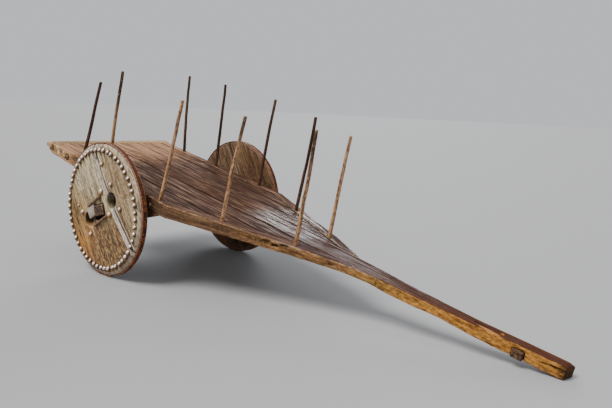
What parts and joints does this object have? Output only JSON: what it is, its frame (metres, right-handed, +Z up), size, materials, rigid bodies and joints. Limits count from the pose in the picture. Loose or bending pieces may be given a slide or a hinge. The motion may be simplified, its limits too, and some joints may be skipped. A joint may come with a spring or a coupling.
{
  "type": "ox cart with solid plank wheels",
  "caption": "Two-wheeled timber ox cart: long draft pole, pointed plank bed with loose side stakes, solid plank wheels fixed on a turning axle, parked with the pole tip on the ground.",
  "frame": {"origin": "centre of the whole cart's box, on the ground that the wheels and the pole tip stand on", "axes": "+X forwards to the pole tip, +Y to the cart's left, along the axle, +Z up"},
  "size_m": [4.628, 1.62, 1.7231],
  "materials": {
    "wheel_timber": "weathered grey-brown hardwood",
    "pale_timber": "pale dry end grain",
    "beam_timber": "weathered brown hardwood",
    "pole_timber": "ochre heartwood, dark worn top",
    "floor_timber": "dark worn boards with a silver sheen",
    "frame_timber": "dark rough hardwood",
    "dark_timber": "dark oiled hardwood",
    "stake_wood": "rough debarked branch wood",
    "tyre_iron": "rusted wrought iron",
    "forged_iron": "rusted forged iron, worn bright on top"
  },
  "bodies": {
    "frame": {"axle_peg_front_left": "frame_timber", "axle_peg_front_right": "frame_timber", "axle_peg_rear_left": "frame_timber", "axle_peg_rear_right": "frame_timber", "bearing_block_left": "frame_timber", "bearing_block_right": "frame_timber", "cross_bearer_1": "frame_timber", "cross_bearer_2": "frame_timber", "cross_bearer_3": "frame_timber", "cross_bearer_4": "frame_timber", "deck_plank_left_1": "floor_timber", "deck_plank_left_2": "floor_timber", "deck_plank_left_3": "floor_timber", "deck_plank_right_1": "floor_timber", "deck_plank_right_2": "floor_timber", "deck_plank_right_3": "floor_timber", "draft_pole": "pole_timber", "rear_crossbeam": "frame_timber", "side_beam_left": "beam_timber", "side_beam_right": "beam_timber", "stake_left_1": "stake_wood", "stake_left_2": "stake_wood", "stake_left_3": "stake_wood", "stake_left_4": "stake_wood", "stake_left_5": "stake_wood", "stake_right_1": "stake_wood", "stake_right_2": "stake_wood", "stake_right_3": "stake_wood", "stake_right_4": "stake_wood", "stake_right_5": "stake_wood", "yoke_peg": "dark_timber"},
    "wheelset": {"axle": "dark_timber", "wheel_left_front_segment": "wheel_timber", "wheel_left_hub_staples": "forged_iron", "wheel_left_hub_wedge": "pale_timber", "wheel_left_middle_plank": "wheel_timber", "wheel_left_rear_segment": "wheel_timber", "wheel_left_rim_studs": "forged_iron", "wheel_left_tyre": "tyre_iron", "wheel_right_front_segment": "wheel_timber", "wheel_right_hub_staples": "forged_iron", "wheel_right_hub_wedge": "pale_timber", "wheel_right_middle_plank": "wheel_timber", "wheel_right_rear_segment": "wheel_timber", "wheel_right_rim_studs": "forged_iron", "wheel_right_tyre": "tyre_iron"}
  },
  "joints": [
    {"name": "wheel_spin", "type": "hinge", "parent": "frame", "child": "wheelset", "pos_m": [-1.19226, 0, 0.55], "axis": [0, 1, 0], "continuous": true}
  ]
}
